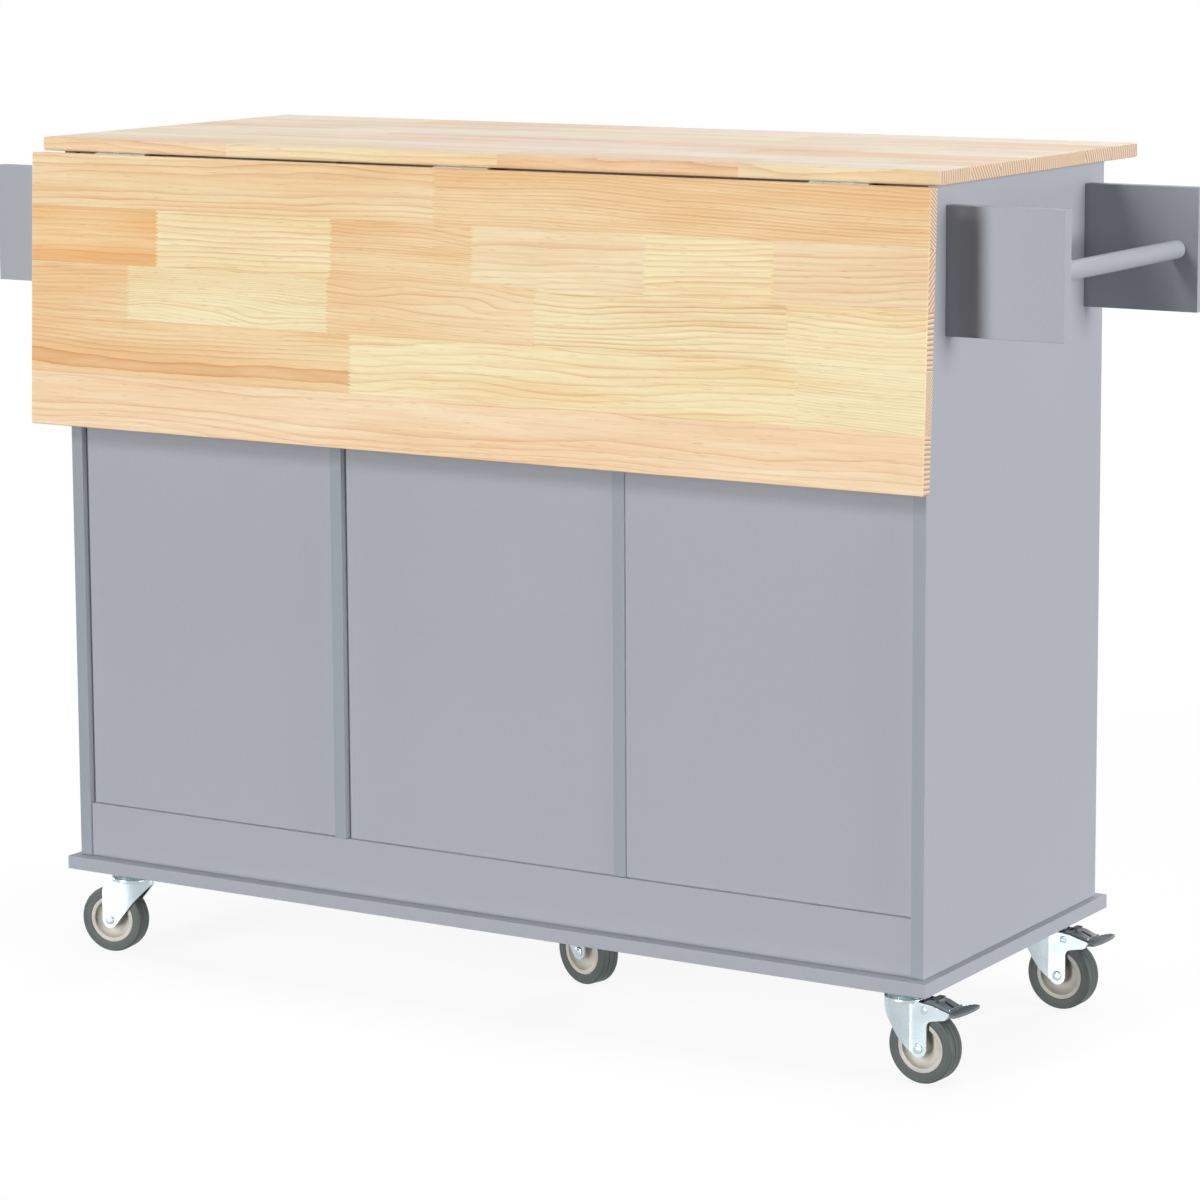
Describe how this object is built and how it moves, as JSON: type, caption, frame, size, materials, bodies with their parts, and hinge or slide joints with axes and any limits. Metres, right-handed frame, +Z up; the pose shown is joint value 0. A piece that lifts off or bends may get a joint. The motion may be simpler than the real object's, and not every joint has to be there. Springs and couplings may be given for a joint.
{
  "type": "rolling kitchen island",
  "caption": "Rolling kitchen island with a hinged drop leaf, drawers and doors, a towel bar, a spice rack and swivel casters.",
  "frame": {"origin": "centre of the island's footprint on the floor, leaf hanging", "axes": "+X along the island towards the towel bar, +Y towards the doors and drawers (the leaf is on -Y), +Z up"},
  "size_m": [1.34, 0.4974, 0.935],
  "materials": {
    "painted_board": "satin light blue-grey paint on board",
    "pine": "clear satin lacquer on finger-jointed pine",
    "drawer_wood": "plain sanded pale wood",
    "zinc_steel": "bright zinc plate",
    "knob_metal": "brushed nickel",
    "tyre_rubber": "matt grey rubber",
    "rim_plastic": "moulded warm grey plastic",
    "pedal_plastic": "moulded dark grey plastic"
  },
  "bodies": {
    "root": {"tabletop": "pine", "base_board": "painted_board", "left_side_panel": "painted_board", "right_side_panel": "painted_board", "left_partition": "painted_board", "right_partition": "painted_board", "floor_panel": "painted_board", "back_plinth": "painted_board", "front_plinth": "painted_board", "back_panels": "painted_board", "top_rails": "painted_board", "towel_brackets": "painted_board", "towel_bar": "painted_board", "spice_brackets": "painted_board", "spice_shelf": "painted_board", "spice_rail": "painted_board", "leaf_hinge_table_plates": "zinc_steel", "leaf_hinge_pins": "zinc_steel", "fold_bracket_wall_arms": "zinc_steel", "caster_plates": "zinc_steel", "caster_screws": "zinc_steel", "bay_shelves": "painted_board", "shelf_pins": "zinc_steel", "door_pivots": "zinc_steel", "drawer_runners": "zinc_steel"},
    "leaf": {"drop_leaf": "pine", "leaf_hinge_leaf_plates": "zinc_steel", "fold_bracket_leaf_arms": "zinc_steel"},
    "braces": {"fold_bracket_braces": "zinc_steel"},
    "middle_door": {"middle_door": "painted_board", "middle_door_knob": "knob_metal"},
    "right_door": {"right_door": "painted_board", "right_door_knob": "knob_metal"},
    "drawer_1": {"drawer_1_front": "painted_board", "drawer_1_box": "drawer_wood", "drawer_1_knob": "knob_metal"},
    "drawer_2": {"drawer_2_front": "painted_board", "drawer_2_box": "drawer_wood", "drawer_2_knob": "knob_metal"},
    "drawer_3": {"drawer_3_front": "painted_board", "drawer_3_box": "drawer_wood", "drawer_3_knob": "knob_metal"},
    "caster_rear_right_fork": {"caster_rear_right_fork": "zinc_steel"},
    "caster_rear_right_wheel": {"caster_rear_right_rim": "rim_plastic", "caster_rear_right_tyre": "tyre_rubber"},
    "caster_rear_right_pedal": {"caster_rear_right_brake_pedal": "pedal_plastic"},
    "caster_front_right_fork": {"caster_front_right_fork": "zinc_steel"},
    "caster_front_right_wheel": {"caster_front_right_rim": "rim_plastic", "caster_front_right_tyre": "tyre_rubber"},
    "caster_front_right_pedal": {"caster_front_right_brake_pedal": "pedal_plastic"},
    "caster_rear_left_fork": {"caster_rear_left_fork": "zinc_steel"},
    "caster_rear_left_wheel": {"caster_rear_left_rim": "rim_plastic", "caster_rear_left_tyre": "tyre_rubber"},
    "caster_front_left_fork": {"caster_front_left_fork": "zinc_steel"},
    "caster_front_left_wheel": {"caster_front_left_rim": "rim_plastic", "caster_front_left_tyre": "tyre_rubber"},
    "caster_middle_fork": {"caster_middle_fork": "zinc_steel"},
    "caster_middle_wheel": {"caster_middle_rim": "rim_plastic", "caster_middle_tyre": "tyre_rubber"}
  },
  "joints": [
    {"name": "leaf_hinge", "type": "hinge", "parent": "root", "child": "leaf", "pos_m": [0, -0.21778, 0.9172], "axis": [-1, 0, 0], "range_deg": [0, 87.5]},
    {"name": "brace_fold", "type": "hinge", "parent": "root", "child": "braces", "pos_m": [0, -0.20328, 0.7972], "axis": [-1, 0, 0], "range_deg": [0, 135.1]},
    {"name": "middle_door_hinge", "type": "hinge", "parent": "root", "child": "middle_door", "pos_m": [-0.157, 0.20272, 0.517], "axis": [0, 0, 1], "range_deg": [0, 90]},
    {"name": "right_door_hinge", "type": "hinge", "parent": "root", "child": "right_door", "pos_m": [0.512, 0.20272, 0.517], "axis": [0, 0, -1], "range_deg": [0, 90]},
    {"name": "drawer_1_slide", "type": "slide", "parent": "root", "child": "drawer_1", "axis": [0, 1, 0], "range_m": [0, 0.26]},
    {"name": "drawer_2_slide", "type": "slide", "parent": "root", "child": "drawer_2", "axis": [0, 1, 0], "range_m": [0, 0.26]},
    {"name": "drawer_3_slide", "type": "slide", "parent": "root", "child": "drawer_3", "axis": [0, 1, 0], "range_m": [0, 0.26]},
    {"name": "caster_rear_right_swivel", "type": "hinge", "parent": "root", "child": "caster_rear_right_fork", "pos_m": [0.505, -0.16928, 0.09], "axis": [0, 0, 1], "continuous": true},
    {"name": "caster_rear_right_roll", "type": "hinge", "parent": "caster_rear_right_fork", "child": "caster_rear_right_wheel", "pos_m": [0.52693, -0.17101, 0.038], "axis": [0.0785, 0.9969, 0], "continuous": true},
    {"name": "caster_rear_right_brake", "type": "hinge", "parent": "caster_rear_right_fork", "child": "caster_rear_right_pedal", "pos_m": [0.53391, -0.17156, 0.0795], "axis": [0.0785, 0.9969, 0], "range_deg": [0, 10]},
    {"name": "caster_front_right_swivel", "type": "hinge", "parent": "root", "child": "caster_front_right_fork", "pos_m": [0.505, 0.15672, 0.09], "axis": [0, 0, 1], "continuous": true},
    {"name": "caster_front_right_roll", "type": "hinge", "parent": "caster_front_right_fork", "child": "caster_front_right_wheel", "pos_m": [0.52699, 0.15595, 0.038], "axis": [0.0349, 0.9994, 0], "continuous": true},
    {"name": "caster_front_right_brake", "type": "hinge", "parent": "caster_front_right_fork", "child": "caster_front_right_pedal", "pos_m": [0.53398, 0.15571, 0.0795], "axis": [0.0349, 0.9994, 0], "range_deg": [0, 10]},
    {"name": "caster_rear_left_swivel", "type": "hinge", "parent": "root", "child": "caster_rear_left_fork", "pos_m": [-0.493, -0.16928, 0.09], "axis": [0, 0, 1], "continuous": true},
    {"name": "caster_rear_left_roll", "type": "hinge", "parent": "caster_rear_left_fork", "child": "caster_rear_left_wheel", "pos_m": [-0.5147, -0.17291, 0.038], "axis": [0.165, -0.9863, 0], "continuous": true},
    {"name": "caster_front_left_swivel", "type": "hinge", "parent": "root", "child": "caster_front_left_fork", "pos_m": [-0.493, 0.15672, 0.09], "axis": [0, 0, 1], "continuous": true},
    {"name": "caster_front_left_roll", "type": "hinge", "parent": "caster_front_left_fork", "child": "caster_front_left_wheel", "pos_m": [-0.51488, 0.15442, 0.038], "axis": [0.1045, -0.9945, 0], "continuous": true},
    {"name": "caster_middle_swivel", "type": "hinge", "parent": "root", "child": "caster_middle_fork", "pos_m": [0.008, -0.01428, 0.09], "axis": [0, 0, 1], "continuous": true},
    {"name": "caster_middle_roll", "type": "hinge", "parent": "caster_middle_fork", "child": "caster_middle_wheel", "pos_m": [0.0292, -0.02016, 0.038], "axis": [0.2672, 0.9636, 0], "continuous": true}
  ],
  "couplings": [
    {"joint": "brace_fold", "follows": "leaf_hinge", "ratio": 1.5429}
  ]
}
